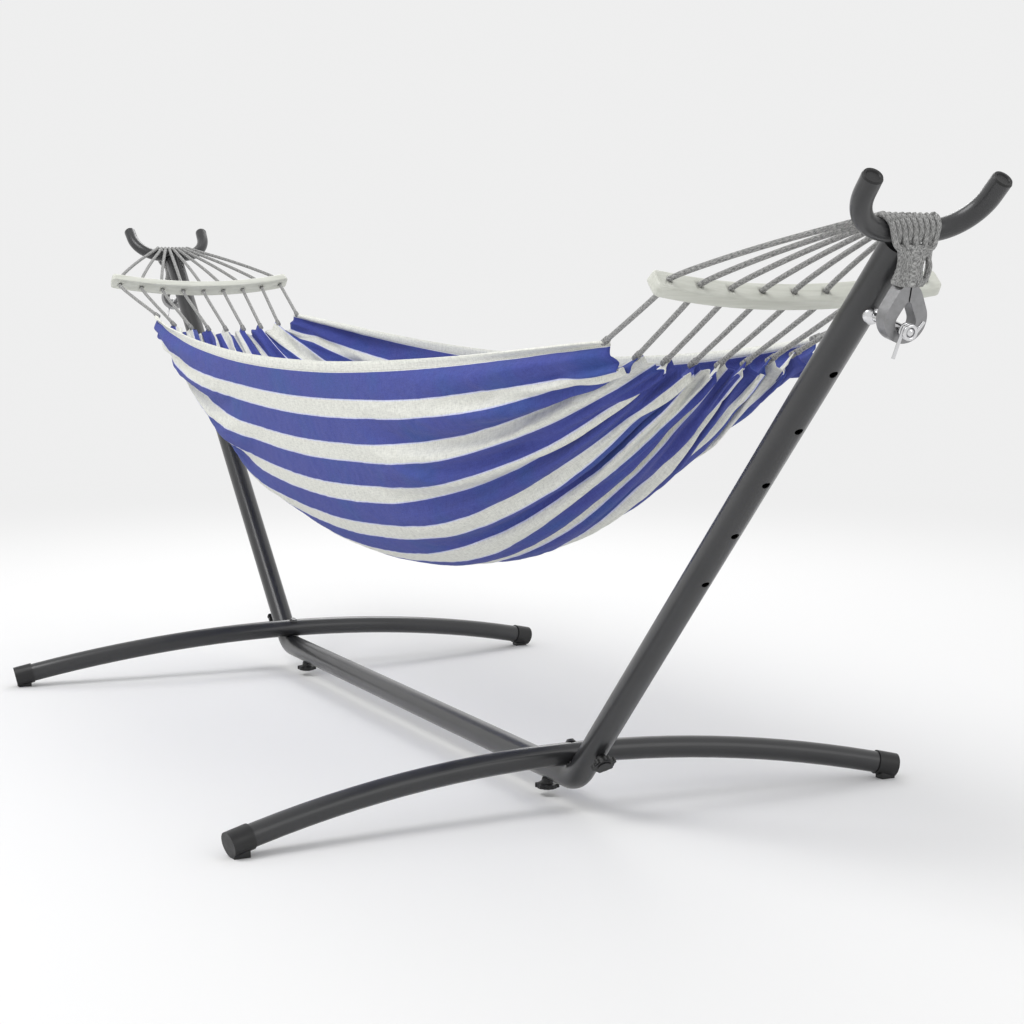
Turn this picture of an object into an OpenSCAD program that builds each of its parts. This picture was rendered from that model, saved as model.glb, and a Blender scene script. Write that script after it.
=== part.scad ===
// Free-standing hammock: a cloth bed between two bowed spreader bars, hung on cords from
// the horned posts of a knock-down tube stand.
// Millimetres, +Z up, ground at z = 0. +X runs along the length to the "near" end, and the
// "far" end is its mirror image. Modules draw the near end.

/* [Stand tubes] */
// Outside diameter of the beam, elbows and posts
tube_d = 40; // [38:1:42]
// Wall thickness of the steel tubes
wall = 1.5; // [1:0.25:2]
// Distance from the middle to the corner where a post leaves the beam
corner_x = 640; // [620:5:660]
// Height of the beam's axis above the ground
beam_z = 48; // [46:1:54]
// Angle of the posts above the horizontal
post_angle = 45; // [44:0.5:46]
// Bend radius of an elbow's centre line
bend_r = 60; // [56:1:66]
// Length of an elbow's bare leg, from its corner to the joint with the next tube
elbow_leg = 62; // [56:1:70]
// Length of the spigot that plugs into the next tube
spigot = 75; // [60:1:90]
// Distance from the corner to a post's top end
post_top = 1106; // [1104:1:1108]

/* [Feet] */
// Outside diameter of a foot tube
foot_d = 34; // [32:1:36]
// Half the width between the end faces of a foot's caps
foot_half = 553; // [500:1:600]
// Lean of the arched foot's plane from the vertical, top inwards
foot_lean = 36; // [25:1:45]
// Depth of the saddle pressed into the foot where it sits in the elbow
seat_depth = 3.7; // [3:0.1:5]
// Length of a foot cap
cap_l = 34; // [28:1:40]
// Wall thickness of a foot cap
cap_wall = 2; // [1.5:0.1:3]

/* [Horns and hooks] */
// Outside diameter of a horn tube
horn_d = 25; // [24:0.5:26]
// Distance from the corner to the bottom of a horn's centre line
horn_s = 1124; // [1123:0.5:1126]
// Radius of a horn's bends
horn_r = 62; // [60:1:66]
// Turn of each horn bend
horn_turn = 86; // [80:1:90]
// Length of a horn's straight arm, plug included
horn_arm = 23.5; // [20:0.5:30]
// Number of adjusting holes in a post
holes = 6; // [4:1:7]
// Distance between two adjusting holes
hole_pitch = 102; // [90:1:105]
// Distance from the corner to the top adjusting hole
top_hole = 1012; // [1009:1:1014]
// Dip of the hook pin below the horizontal
pin_dip = 13.6; // [12:0.2:15]
// Distance from the hook pin's ball to the middle of the thimble
thimble_out = 57; // [57:1:60]

/* [Hammock] */
// Number of cords at each end, an odd number
cords = 9; // [7:2:9]
// Diameter of a cord
cord_d = 7; // [5:0.5:7]
// Length of a spreader bar
bar_l = 410; // [400:5:430]
// Broad side of a spreader bar
bar_b = 31; // [28:1:34]
// Thickness of a spreader bar
bar_t = 17; // [15:1:18]
// Rise of a spreader bar's ends above its middle
bar_bow = 26; // [20:1:30]
// Distance between two cord holes
cord_pitch = 46; // [44:0.5:47]
// Half the distance between the bed's two cord edges, at its middle
bed_x = 1028; // [1020:2:1040]
// Height of the bed's lowest point above the ground
bed_low = 311; // [280:1:340]
// Largest half width of the bed
bed_half = 236; // [220:1:245]
// Thickness of the bed's solid
bed_t = 4; // [3:0.5:6]

/* [Hidden] */
$fn = 64;

tube_r = tube_d / 2;
foot_r = foot_d / 2;
horn_ro = horn_d / 2;
cord_r = cord_d / 2;
eps = 0.05;            // clearance between touching pieces of one body
cut = 1;               // overshoot of a cutting tool

// Knobs and studs
beam_knob_at = 99;     // distance of the beam knob from the corner
post_knob_at = 88;     // distance of the post knob from the corner
stud_r = 4;
stud_hole_r = 4.5;
nut_r = 6.5;
nut_h = 7;
knob_gap = 0.3;        // between a knob's neck and the tube
knob_neck_r = 9.5;
knob_neck_h = 9;
knob_disc_r = 15.5;
knob_disc_h = 7;
knob_lobes = 6;
knob_lobe_r = 4.6;
knob_crown_h = 1.6;
spigot_r = tube_r - wall - 0.2;
elbow_bore_r = spigot_r - wall;

// Elbow bend
bend_leg = bend_r * tan(post_angle / 2);
bend_centre = [corner_x - bend_leg, 0, beam_z + bend_r];

// Foot arch: mid point on the elbow's seat, end point on the ground, arc through both
seat_turn = 180 - post_angle / 2;
foot_seat = bend_r - tube_r - foot_r + seat_depth;
foot_mid = bend_centre + foot_seat * [sin(seat_turn), 0, cos(seat_turn)];
cap_r = foot_r + cap_wall;
foot_end_z = cap_r - 0.3;
foot_rise = (foot_mid.z - foot_end_z) / cos(foot_lean);
foot_arc_r = (foot_half ^ 2 + foot_rise ^ 2) / (2 * foot_rise);
foot_turn = asin(foot_half / foot_arc_r);
cap_end_h = 3.5;
cap_skirt_turn = (cap_l - cap_end_h) / foot_arc_r * 180 / PI;
cap_end_turn = cap_end_h / foot_arc_r * 180 / PI;
seat_solid_turn = 1.2; // half turn of the solid stretch behind the seat
seat_slack = 2.3;      // the straight saddle's clearance round the bent elbow
pad_l = 24;
pad_w = 18;

// Screw that holds the foot in the elbow
screw_head_r = 8;
screw_head_h = 4;
insert_r = 6;
insert_h = 11;

// Hook pin
hole_r = 5.5;
pin_ball_r = 11;
pin_ball_out = tube_r + 1;
pin_r = 5.4;
pin_l = 80;
stem_in = 12;
wire_r = 2.1;
wire_turns = [11.4, 15.8, 20.2]; // of the keeper clip, out from the thimble's middle

// Thimble: a drop shape, measured from the pin's axis
thimble_t = 18;
rope_w = 18;           // rope's flat end, let into the thimble's top
rope_t = 12;
rope_in = 13.5;        // depth of its pocket
drop_low_r = 28;
drop_low_z = 12;
drop_top_r = 18;
drop_top_z = 34;
drop_top = drop_top_z + drop_top_r;
eye_low_r = 13.6;
eye_low_z = 7.9;
eye_top_r = 4;
eye_top_z = 28;

// Clew: the woven neck above the thimble and the cords over the horn
neck_low = drop_top + 0.3;
neck_top = 86;
neck_gap = 2.2;        // from the neck's top to the cords' first rings, which lean
neck_half = 16;
neck_r = 7.5;
k_max = (cords - 1) / 2;
k_all = [-k_max : k_max];
saddle_r = horn_ro + cord_r + 0.5;
neck_pitch = 4.2;      // sideways step between cords at the neck
saddle_pitch = 9.5;    // and on the horn
neck_stagger = 3.4;    // in and out step between cords at the neck
rise_pitch = 7.2;      // sideways step where the cords meet the horn
rise_open = 1;         // extra step just above the neck, where the cords spread
saddle_lift = 21;      // the cords' slope where they leave the horn
split_x = 1395;        // where the swinging part of the cords begins
split_gap = 6;         // wide enough for the slanted ends of the two parts
fan_slope = 0.16;      // sideways spread of each cord's line, per cord
horn_flat = 23;

// Spreader bar, bowed in the plane of its thickness
bar_mid = [1204, 0, 768];
bar_tilt = 45;
bar_r = ((bar_l / 2) ^ 2 + bar_bow ^ 2) / (2 * bar_bow);
bar_corner_r = 8;
bar_swing = 40;        // turn of the bowed blank that a bar is cut from
cord_hole_r = cord_r + 1;
cord_out = bar_t / 2 + 3;

// Bed: half-ellipse sections whose edges and belly follow power curves
bed_end_half = 157;
bed_edge_low = 658;
bed_edge_end = 712;
bed_end_low = 676;
bed_end_bow = 20;
bed_nu = 28;
bed_nv = 20;
tie_gap = 1.5;         // between a cord's end and the bed
tie_span = 0.995;      // outermost ties, as a share of the bed's end width

function lean_z(angle) = [sin(angle), 0, cos(angle)];
function lean_x(angle) = [cos(angle), 0, -sin(angle)];
function mix(a, b, t) = a + (b - a) * t;
function unit(v) = v / norm(v);
u_post = lean_z(90 - post_angle);
function on_post(s) = [corner_x, 0, beam_z] + s * u_post;

module far_end() { mirror([1, 0, 0]) children(); }
module mirror_y() { children(); mirror([0, 1, 0]) children(); }
// Local Z up the post, local X out of its outer side
module at_post(s) { translate(on_post(s)) rotate([0, 90 - post_angle, 0]) children(); }
// Local Z from the centre of the elbow's bend, out through the foot and the elbow
module at_seat(d) { translate(bend_centre) rotate([0, seat_turn, 0]) translate([0, 0, d]) children(); }
module at_beam(x) { translate([x, 0, beam_z]) children(); }

pin_ball = on_post(top_hole) + pin_ball_out * lean_x(90 - post_angle);
// Local X along the hook pin, local Z up the taut cords
module at_pin(d) { translate(pin_ball) rotate([0, pin_dip, 0]) translate([d, 0, 0]) children(); }
// Local XY plane of a turned shape laid in the YZ plane
module in_yz() { rotate([90, 0, 90]) children(); }

// ---- Stand ----

// Short core that joins a straight piece to a bent one at local Z = 0
module joint_core(r) { translate([0, 0, -2]) cylinder(r = r - 0.2, h = 4); }

module at_bend() {
  translate(bend_centre) rotate([90, 0, 0]) rotate([0, 0, -90]) rotate_extrude(angle = post_angle) children();
}

// Leg of an elbow, from the bend up local Z to the end of its spigot
module elbow_tube() {
  bare = elbow_leg - bend_leg;
  rotate_extrude() polygon([[elbow_bore_r, 0], [tube_r, 0], [tube_r, bare], [spigot_r, bare],
    [spigot_r, bare + spigot], [elbow_bore_r, bare + spigot]]);
  rotate_extrude() translate([elbow_bore_r + 0.2, -2]) square([tube_r - elbow_bore_r - 0.4, 4]);
}

module elbow() {
  color("#3b3c3e") difference() {
    union() {
      at_beam(corner_x - bend_leg) rotate([0, -90, 0]) elbow_tube();
      at_bend() translate([bend_r, 0]) difference() {
        circle(tube_r);
        circle(elbow_bore_r);
      }
      at_post(bend_leg) elbow_tube();
    }
    at_beam(corner_x - beam_knob_at) rotate([180, 0, 0]) cylinder(r = stud_hole_r, h = tube_r);
    at_post(post_knob_at) rotate([0, 90, 0]) cylinder(r = stud_hole_r, h = tube_r);
    at_seat(bend_r - tube_r - cut) cylinder(r = insert_r, h = tube_r / 2);
  }
}

module base_beam() {
  half = corner_x - elbow_leg;
  color("#3b3c3e") difference() {
    at_beam(-half) rotate([0, 90, 0]) cylinder(r = tube_r, h = 2 * half);
    at_beam(-half - cut) rotate([0, 90, 0]) cylinder(r = tube_r - wall, h = 2 * (half + cut));
    for (side = [-1, 1])
      at_beam(side * (corner_x - beam_knob_at)) rotate([180, 0, 0])
        cylinder(r = stud_hole_r, h = tube_r + cut);
  }
}

module post() {
  lid = 3;
  color("#3b3c3e") difference() {
    at_post(elbow_leg) cylinder(r = tube_r, h = post_top - elbow_leg);
    at_post(elbow_leg - cut) cylinder(r = tube_r - wall, h = post_top - lid - elbow_leg + cut);
    at_post(post_knob_at) rotate([0, 90, 0]) cylinder(r = stud_hole_r, h = tube_r + cut);
    for (i = [0 : holes - 1])
      at_post(top_hole - i * hole_pitch) rotate([0, 90, 0]) cylinder(r = hole_r, h = tube_r + cut);
  }
}

// An arc of round section in the foot's leaning plane, from turn a0 to turn a1
module foot_arc(r, a0, a1) {
  arc_centre = foot_mid - foot_arc_r * [-sin(foot_lean), 0, cos(foot_lean)];
  translate(arc_centre) rotate([0, -90 - foot_lean, 0]) rotate([0, 0, a0])
    rotate_extrude(angle = a1 - a0, $fn = 720) translate([foot_arc_r, 0]) circle(r, $fn = 64);
}

tube_turn = foot_turn - cap_end_turn;

module foot_tube() {
  color("#2f3032") difference() {
    foot_arc(foot_r, -tube_turn, tube_turn);
    mirror_y() foot_arc(foot_r - wall, seat_solid_turn, tube_turn + cap_end_turn);
    at_seat(bend_r) rotate([0, 90, 0]) cylinder(r = tube_r + seat_slack, h = 4 * foot_r, center = true);
    at_seat(0) cylinder(r = stud_hole_r, h = bend_r);
  }
}

module foot_cap() {
  difference() {
    union() {
      foot_arc(cap_r, foot_turn - cap_end_turn - cap_skirt_turn, foot_turn);
      cap_pad();
    }
    foot_arc(foot_r + eps, foot_turn - cap_end_turn - 2 * cap_skirt_turn, tube_turn);
    translate([corner_x, 0, -50]) cube([200, 2 * foot_half, 50]);
  }
}

// Moulded flat under a cap, which stands on the ground
module cap_pad() {
  end_x = foot_mid.x + (foot_mid.z - foot_end_z) * tan(foot_lean);
  translate([end_x - pad_w / 2, foot_half - pad_l - 5, 0]) cube([pad_w, pad_l, foot_end_z]);
}

module foot_caps() { color("#161616") mirror_y() foot_cap(); }

module foot_screw() {
  top = foot_seat - foot_r - eps;
  color("#1d1d1f") at_seat(0) {
    translate([0, 0, top - screw_head_h])
      cylinder(r1 = screw_head_r - 3, r2 = screw_head_r, h = screw_head_h);
    translate([0, 0, top - eps]) cylinder(r = stud_r, h = bend_r - tube_r + insert_h - top);
  }
}

// Threaded parts inside the elbow: a nut behind each knob and an insert under the foot
module weld_nuts() {
  flat = sqrt(elbow_bore_r ^ 2 - nut_r ^ 2) - eps;
  color("#8d8f92") {
    at_beam(corner_x - beam_knob_at) rotate([180, 0, 0]) translate([0, 0, flat - nut_h]) nut();
    at_post(post_knob_at) rotate([0, 90, 0]) translate([0, 0, flat - nut_h]) nut();
    at_seat(bend_r - tube_r + 0.6) difference() {
      cylinder(r = insert_r - eps, h = insert_h);
      translate([0, 0, -cut]) cylinder(r = stud_r + eps, h = insert_h + 2 * cut);
    }
  }
}

module nut() {
  difference() {
    cylinder(r = nut_r, h = nut_h);
    translate([0, 0, -cut]) cylinder(r = stud_r + eps, h = nut_h + 2 * cut);
  }
}

// A lobed knob on its stud: local Z points away from the tube's axis
module knob() {
  base = tube_r + knob_gap;
  color("#141414") translate([0, 0, base]) {
    cylinder(r1 = knob_neck_r - 1.5, r2 = knob_neck_r, h = knob_neck_h);
    translate([0, 0, knob_neck_h]) {
      cylinder(r = knob_disc_r, h = knob_disc_h);
      cylinder(r = knob_disc_r - 5, h = knob_disc_h + knob_crown_h);
      for (i = [0 : knob_lobes - 1])
        rotate(i * 360 / knob_lobes) translate([knob_disc_r - 1.2, 0, 0])
          cylinder(r = knob_lobe_r, h = knob_disc_h - 0.8);
    }
  }
}

module stud() {
  color("#8d8f92") translate([0, 0, tube_r - 12]) cylinder(r = stud_r, h = 12 + knob_gap);
}

module at_beam_knob() { at_beam(corner_x - beam_knob_at) rotate([180, 0, 0]) children(); }
module at_post_knob() { at_post(post_knob_at) rotate([0, 90, 0]) children(); }

// ---- Horns and hooks ----

// The horn's round section, swept along its centre line; over lengthens the arms
module horn_core(r, arm, over = 0) {
  end = 90 - horn_turn;
  at_post(horn_s) {
    translate([0, -horn_flat, 0]) rotate([-90, 0, 0]) cylinder(r = r, h = 2 * horn_flat);
    mirror_y() translate([0, horn_flat, 0]) rotate([-90, 0, 0]) joint_core(r);
    mirror_y() translate([0, horn_flat, horn_r]) {
      in_yz() rotate([0, 0, -90]) rotate_extrude(angle = horn_turn) translate([horn_r, 0]) circle(r);
      translate([0, horn_r * cos(end), -horn_r * sin(end)]) rotate([-end, 0, 0]) {
        joint_core(r);
        cylinder(r = r, h = arm + over);
      }
    }
  }
}

plug_head_h = 2.5;

module horn() {
  color("#3b3c3e") difference() {
    union() {
      horn_core(horn_ro, horn_arm - plug_head_h);
      at_post(post_top + eps) cylinder(r = horn_ro - 0.5, h = horn_s - post_top);
    }
    horn_core(horn_ro - wall, horn_arm - plug_head_h, cut);
  }
}

module horn_plugs() {
  end = 90 - horn_turn;
  color("#1a1a1b") at_post(horn_s) mirror_y()
    translate([0, horn_flat + horn_r * cos(end), horn_r - horn_r * sin(end)]) rotate([-end, 0, 0])
      translate([0, 0, horn_arm - plug_head_h]) difference() {
        union() {
          translate([0, 0, eps]) cylinder(r1 = horn_ro, r2 = horn_ro - 1.2, h = plug_head_h);
          translate([0, 0, -16]) cylinder(r = horn_ro - wall - eps, h = 17);
        }
        translate([0, 0, plug_head_h - 1.4]) cylinder(r1 = horn_ro - 5, r2 = horn_ro - 3, h = 3);
      }
}

module hook_pin() {
  color("#b9babc") {
    difference() {
      at_pin(0) sphere(pin_ball_r);
      at_post(top_hole - 30) cylinder(r = tube_r + eps, h = 60);
    }
    at_post(top_hole) rotate([0, 90, 0]) translate([0, 0, stem_in])
      cylinder(r = hole_r - eps, h = tube_r - stem_in + 2);
    at_pin(0) rotate([0, 90, 0]) cylinder(r = pin_r, h = pin_l - pin_r);
    at_pin(pin_l - pin_r) sphere(pin_r);
  }
}

// Wire keeper: turns round the pin in front of the thimble, with a hanging tail and a short leg
module keeper_clip() {
  ring_r = pin_r + wire_r + eps;
  color("#c2c3c5") at_pin(thimble_out) {
    for (d = wire_turns) translate([d, 0, 0]) in_yz() rotate_extrude() translate([ring_r, 0]) circle(wire_r);
    translate([wire_turns[1], -ring_r, 0]) rotate([168, 0, 0]) cylinder(r = wire_r, h = 32);
    translate([wire_turns[2], ring_r, 0]) rotate([-35, 0, 0]) cylinder(r = wire_r, h = 15);
    translate([wire_turns[0], 0, -ring_r]) rotate([0, 90, 0])
      cylinder(r = wire_r * 0.8, h = wire_turns[2] - wire_turns[0]);
  }
}

// Outline of two circles joined by their outer tangents, the small one above
module drop(r1, z1, r2, z2) {
  a = asin((r1 - r2) / (z2 - z1));
  t1 = r1 * [cos(a), sin(a)];
  t2 = r2 * [cos(a), sin(a)];
  translate([0, z1]) circle(r1);
  translate([0, z2]) circle(r2);
  polygon([[-t1.x, z1 + t1.y], [t1.x, z1 + t1.y], [t2.x, z2 + t2.y], [-t2.x, z2 + t2.y]]);
}

module thimble() {
  slit = 2;
  color("#9b9d9f") at_pin(thimble_out) difference() {
    in_yz() linear_extrude(thimble_t, center = true) drop(drop_low_r, drop_low_z, drop_top_r, drop_top_z);
    in_yz() linear_extrude(thimble_t + cut, center = true) drop(eye_low_r, eye_low_z, eye_top_r, eye_top_z);
    rope_end(2 * rope_in);
    translate([-thimble_t, -slit / 2, eye_top_z]) cube([2 * thimble_t, slit, drop_top]);
  }
}

// The rope's flat end, from the floor of its pocket in the thimble up to a height h
module rope_end(h, gap = 0) {
  translate([-rope_t / 2 + gap, -rope_w / 2 + gap, drop_top - rope_in + gap])
    cube([rope_t - 2 * gap, rope_w - 2 * gap, h]);
}

// The woven neck that the cords run into, above the thimble
module clew_eye() {
  color("#8f908e") at_pin(thimble_out) {
    rope_end(rope_in + cut, 0.3);
    translate([0, 0, neck_low]) {
      mirror_y() translate([0, neck_half - neck_r, 0]) cylinder(r = neck_r, h = neck_top - neck_low);
      translate([-neck_r, neck_r - neck_half, 0])
        cube([2 * neck_r, 2 * (neck_half - neck_r), neck_top - neck_low]);
    }
  }
}

// ---- Cords ----

// A tube of round section through the points of a route, as one polyhedron
module tube(route, r, sides = 8) {
  n = len(route);
  legs = [for (i = [0 : n - 2]) unit(route[i + 1] - route[i])];
  dirs = [for (i = [0 : n - 1]) unit(legs[max(i - 1, 0)] + legs[min(i, n - 2)])];
  rings = [for (i = [0 : n - 1]) let (
      side = unit(cross(dirs[i], abs(dirs[i].y) > 0.9 ? [0, 0, 1] : [0, 1, 0])), up = cross(side, dirs[i]))
    for (j = [0 : sides - 1]) let (a = 360 * j / sides) route[i] + r * (cos(a) * side + sin(a) * up)];
  faces = concat(
    [[for (j = [0 : sides - 1]) j]],
    [for (i = [0 : n - 2], j = [0 : sides - 1]) let (k = (j + 1) % sides)
      each [[i * sides + j, (i + 1) * sides + j, (i + 1) * sides + k],
            [i * sides + j, (i + 1) * sides + k, i * sides + k]]],
    [[for (j = [sides - 1 : -1 : 0]) (n - 1) * sides + j]]);
  polyhedron(points = rings, faces = faces, convexity = 4);
}

u_pin = lean_x(pin_dip);
u_pull = lean_z(pin_dip);
thimble_mid = pin_ball + thimble_out * u_pin;
// Lift of the horn's centre line at a distance y from its middle
function horn_lift(y) = abs(y) <= horn_flat ? 0 : horn_r - sqrt(horn_r ^ 2 - (abs(y) - horn_flat) ^ 2);
// Point on the cord's turn over the horn: angle from the horizontal, x outwards
function on_saddle(angle, y) = on_post(horn_s + horn_lift(y)) + [0, y, 0]
  + saddle_r * [cos(angle), 0, sin(angle)];

// Point at x on the straight stretch of cord k that leaves the horn
function off_saddle(k, x) = let (start = on_saddle(90 + saddle_lift, saddle_pitch * k))
  start + (start.x - x) * [-1, k * fan_slope, -tan(saddle_lift)];

// Cord k from the neck, up and over the horn, to the plane where it starts to swing
function clew_route(k) = let (
    stagger = neck_stagger * (k % 2 == 0 ? 1 : -1) * (cord_r / 3.5),
    foot_pt = thimble_mid + (neck_top + neck_gap) * u_pull + [0, neck_pitch * k, 0] + stagger * u_pin,
    off = on_saddle(-pin_dip, rise_pitch * k),
    last = off_saddle(k, split_x + split_gap / 2))
  concat([foot_pt, mix(foot_pt, off, 0.35) + 0.25 * stagger * u_pin + [0, rise_open * k, 0]],
    [for (i = [0 : 5]) on_saddle(mix(-pin_dip, 90 + saddle_lift, i / 5),
      mix(rise_pitch, saddle_pitch, i / 5) * k)],
    [last]);

// Middle of the spreader bar's cord hole k, and the hole's direction
function bar_turn(k) = asin(k * cord_pitch / bar_r);
u_bar = lean_z(90 - bar_tilt);
function bar_point(k) = let (a = bar_turn(k)) bar_mid + bar_r * ((1 - cos(a)) * u_bar + sin(a) * [0, 1, 0]);
function bar_axis(k) = let (a = bar_turn(k)) cos(a) * u_bar - sin(a) * [0, 1, 0];

// Bed surface: u runs along X and v across it, both from -1 to 1; inset moves it inwards
function bed_width(u) = mix(bed_half, bed_end_half, abs(u) ^ 2.3);
function bed_edge(u) = mix(bed_edge_low, bed_edge_end, u ^ 2);
function bed_belly(u) = mix(bed_low, bed_end_low, abs(u) ^ 2.2);
function bed_at(u, v, inset) = [
  u * (bed_x - bed_end_bow * v ^ 2),
  (bed_width(u) - inset) * sin(90 * v),
  bed_edge(u) - (bed_edge(u) - bed_belly(u) - inset) * cos(90 * v)];
function tie_v(k) = asin(k / k_max * tie_span) / 90;
function tie_point(k) = bed_at(1, tie_v(k), bed_t / 2) + [tie_gap, 0, 0];

// Cord k from the swing's plane, through the spreader bar, to the bed
function fan_route(k) = let (
    first = off_saddle(k, split_x - split_gap / 2),
    top = bar_point(k) + cord_out * bar_axis(k),
    low = bar_point(k) - cord_out * bar_axis(k))
  [first, mix(first, top, 0.5), top, low, mix(low, tie_point(k), 0.5), tie_point(k)];

module clew_bundle() { color("#8f908e") for (k = k_all) tube(clew_route(k), cord_r); }
module clew_cords() { color("#8f908e") for (k = k_all) tube(fan_route(k), cord_r); }

// Spare end of the cord, looped beside the neck: [out, sideways, up] from the thimble's middle
spare_points = [[-6, 20.5, 87], [-4, 23.5, 82], [-2, 25.5, 76], [0, 26.3, 70], [0, 25.5, 62], [0, 23, 55],
  [0, 20, 50]];

module spare_loop() {
  route = [for (p = spare_points) thimble_mid + p.x * u_pin + [0, p.y, 0] + p.z * u_pull];
  color("#85868a") tube(route, cord_r);
}

// ---- Hammock ----

module spreader_bar() {
  color("#d5d6cc") difference() {
    translate(bar_mid) rotate([0, 90 - bar_tilt, 0]) intersection() {
      translate([0, 0, bar_r]) rotate([0, 90, 0]) rotate([0, 0, -bar_swing / 2])
        translate([0, 0, -bar_b / 2 - cut]) rotate_extrude(angle = bar_swing, $fn = 360)
          translate([bar_r - bar_t / 2, 0]) square([bar_t, bar_b + 2 * cut]);
      translate([0, 0, -2 * bar_bow]) linear_extrude(4 * bar_bow) rounded_rect(bar_b, bar_l, bar_corner_r);
    }
    for (k = k_all) translate(bar_point(k)) rotate([0, 90 - bar_tilt, 0]) rotate([bar_turn(k), 0, 0])
      translate([0, 0, -bar_t]) cylinder(r = cord_hole_r, h = 2 * bar_t);
  }
}

module rounded_rect(w, l, r) {
  square([w - 2 * r, l], center = true);
  square([w, l - 2 * r], center = true);
  for (x = [-1, 1], y = [-1, 1]) translate([x * (w / 2 - r), y * (l / 2 - r)]) circle(r);
}

module bed() {
  row = bed_nv + 1;
  skin = (bed_nu + 1) * row;
  points = [for (inset = [0, bed_t], i = [0 : bed_nu], j = [0 : bed_nv])
    bed_at(2 * i / bed_nu - 1, 2 * j / bed_nv - 1, inset)];
  rim = concat([for (j = [0 : bed_nv]) j],
    [for (i = [1 : bed_nu]) i * row + bed_nv],
    [for (j = [bed_nv - 1 : -1 : 0]) bed_nu * row + j],
    [for (i = [bed_nu - 1 : -1 : 1]) i * row]);
  outer = [for (i = [0 : bed_nu - 1], j = [0 : bed_nv - 1]) let (a = i * row + j)
    each [[a, a + 1, a + row + 1], [a, a + row + 1, a + row]]];
  inner = [for (f = outer) [f[2] + skin, f[1] + skin, f[0] + skin]];
  sides = [for (i = [0 : len(rim) - 1]) let (a = rim[i], b = rim[(i + 1) % len(rim)])
    each [[b, a, a + skin], [b, a + skin, b + skin]]];
  color("#4c55a8") polyhedron(points = points, faces = concat(outer, inner, sides), convexity = 6);
}

base_beam();
elbow();  // elbow_near
far_end() elbow();  // elbow_far
post();  // post_near
far_end() post();  // post_far
foot_tube();  // foot_tube_near
far_end() foot_tube();  // foot_tube_far
foot_caps();  // foot_caps_near
far_end() foot_caps();  // foot_caps_far
foot_screw();  // foot_screw_near
far_end() foot_screw();  // foot_screw_far
weld_nuts();  // weld_nuts_near
far_end() weld_nuts();  // weld_nuts_far
at_beam_knob() knob();  // beam_knob_near
far_end() at_beam_knob() knob();  // beam_knob_far
at_beam_knob() stud();  // beam_stud_near
far_end() at_beam_knob() stud();  // beam_stud_far
at_post_knob() knob();  // post_knob_near
far_end() at_post_knob() knob();  // post_knob_far
at_post_knob() stud();  // post_stud_near
far_end() at_post_knob() stud();  // post_stud_far
horn();  // horn_near
far_end() horn();  // horn_far
horn_plugs();  // horn_plugs_near
far_end() horn_plugs();  // horn_plugs_far
hook_pin();  // hook_pin_near
far_end() hook_pin();  // hook_pin_far
keeper_clip();  // keeper_clip_near
far_end() keeper_clip();  // keeper_clip_far
thimble();  // thimble_near
far_end() thimble();  // thimble_far
clew_eye();  // clew_eye_near
far_end() clew_eye();  // clew_eye_far
clew_bundle();  // clew_bundle_near
far_end() clew_bundle();  // clew_bundle_far
spare_loop();  // spare_loop_near
far_end() spare_loop();  // spare_loop_far
spreader_bar();  // spreader_bar_near
far_end() spreader_bar();  // spreader_bar_far
clew_cords();  // clew_cords_near
far_end() clew_cords();  // clew_cords_far
bed();
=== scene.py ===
"""Looks for the hammock on its stand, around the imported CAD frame. Metres, +Z up, +X to the near end."""

import math

import bpy
import numpy as np
from mathutils import Matrix, Vector


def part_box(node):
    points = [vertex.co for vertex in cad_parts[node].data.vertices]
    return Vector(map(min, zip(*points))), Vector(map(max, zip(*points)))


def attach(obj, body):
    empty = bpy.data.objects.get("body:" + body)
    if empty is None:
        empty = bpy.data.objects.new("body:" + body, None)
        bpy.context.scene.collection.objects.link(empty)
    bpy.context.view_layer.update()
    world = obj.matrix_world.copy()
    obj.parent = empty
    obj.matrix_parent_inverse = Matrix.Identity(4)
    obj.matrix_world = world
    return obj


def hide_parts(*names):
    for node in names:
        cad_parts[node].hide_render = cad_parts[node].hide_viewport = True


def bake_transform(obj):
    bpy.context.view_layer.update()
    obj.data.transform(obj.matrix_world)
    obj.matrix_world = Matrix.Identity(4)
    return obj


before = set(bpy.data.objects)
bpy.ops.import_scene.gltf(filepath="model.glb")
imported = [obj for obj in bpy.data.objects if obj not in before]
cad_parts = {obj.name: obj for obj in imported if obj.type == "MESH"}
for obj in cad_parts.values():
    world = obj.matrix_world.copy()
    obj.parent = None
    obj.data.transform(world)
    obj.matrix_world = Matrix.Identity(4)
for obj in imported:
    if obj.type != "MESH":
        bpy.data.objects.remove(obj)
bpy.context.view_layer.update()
ENDS = (("near", 1), ("far", -1))

# ---- The design's dimensions, as part.scad has them ----

POST_ANGLE = math.radians(45)
CORNER = np.array([0.640, 0, 0.048])
HORN_S, HORN_RO, HORN_R, HORN_FLAT = 1.124, 0.0125, 0.062, 0.023
TOP_HOLE, PIN_DIP = 1.012, math.radians(13.6)
BALL_OUT, THIMBLE_OUT = 0.021, 0.057
NECK_TOP = 0.086

K_MAX = 4
CORD_D = 0.007
CORD_STEP = 0.003
SADDLE_R = HORN_RO + CORD_D / 2 + 0.0005
NECK_PITCH, RISE_PITCH, SADDLE_PITCH = 0.0042, 0.0072, 0.0095
NECK_STAGGER, RISE_OPEN = 0.0034, 0.001
# A cord's first two points lie this far below and above the top of the neck
NECK_INSIDE, NECK_OUTSIDE = 0.004, 0.0022
HOLE_LEAD, SPAN_BOW, UPPER_SAG, LOWER_SAG = 0.003, 0.00744, 0.003, 0.0012
SADDLE_LIFT = math.radians(21)

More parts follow.
